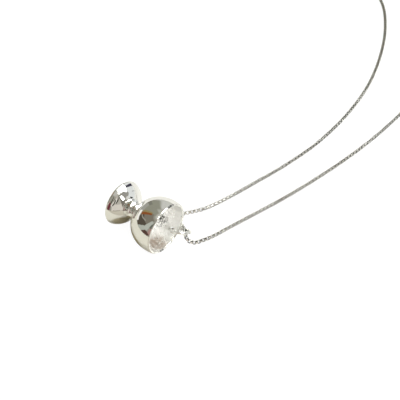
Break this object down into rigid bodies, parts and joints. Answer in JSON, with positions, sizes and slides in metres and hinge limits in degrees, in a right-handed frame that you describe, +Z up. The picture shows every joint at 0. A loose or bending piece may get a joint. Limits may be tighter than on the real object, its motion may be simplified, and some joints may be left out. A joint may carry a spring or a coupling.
{
  "type": "goblet pendant necklace",
  "caption": "Small polished silver goblet pendant on a fine box chain with a ring clasp, lying on a table as a closed loop.",
  "frame": {"origin": "on the table, under the middle of the whole part's bounding box", "axes": "+Z is up from the table, +Y runs along the necklace from the pendant to the clasp, +X is the way the goblet's mouth faces"},
  "size_m": [0.0833, 0.196, 0.0121],
  "materials": {
    "goblet": "polished silver",
    "jump_ring": "polished silver",
    "chain": "polished silver",
    "clasp": "polished silver"
  },
  "bodies": {
    "root": {"goblet": "goblet", "jump_ring": "jump_ring", "chain": "chain", "clasp": "clasp"}
  },
  "joints": []
}
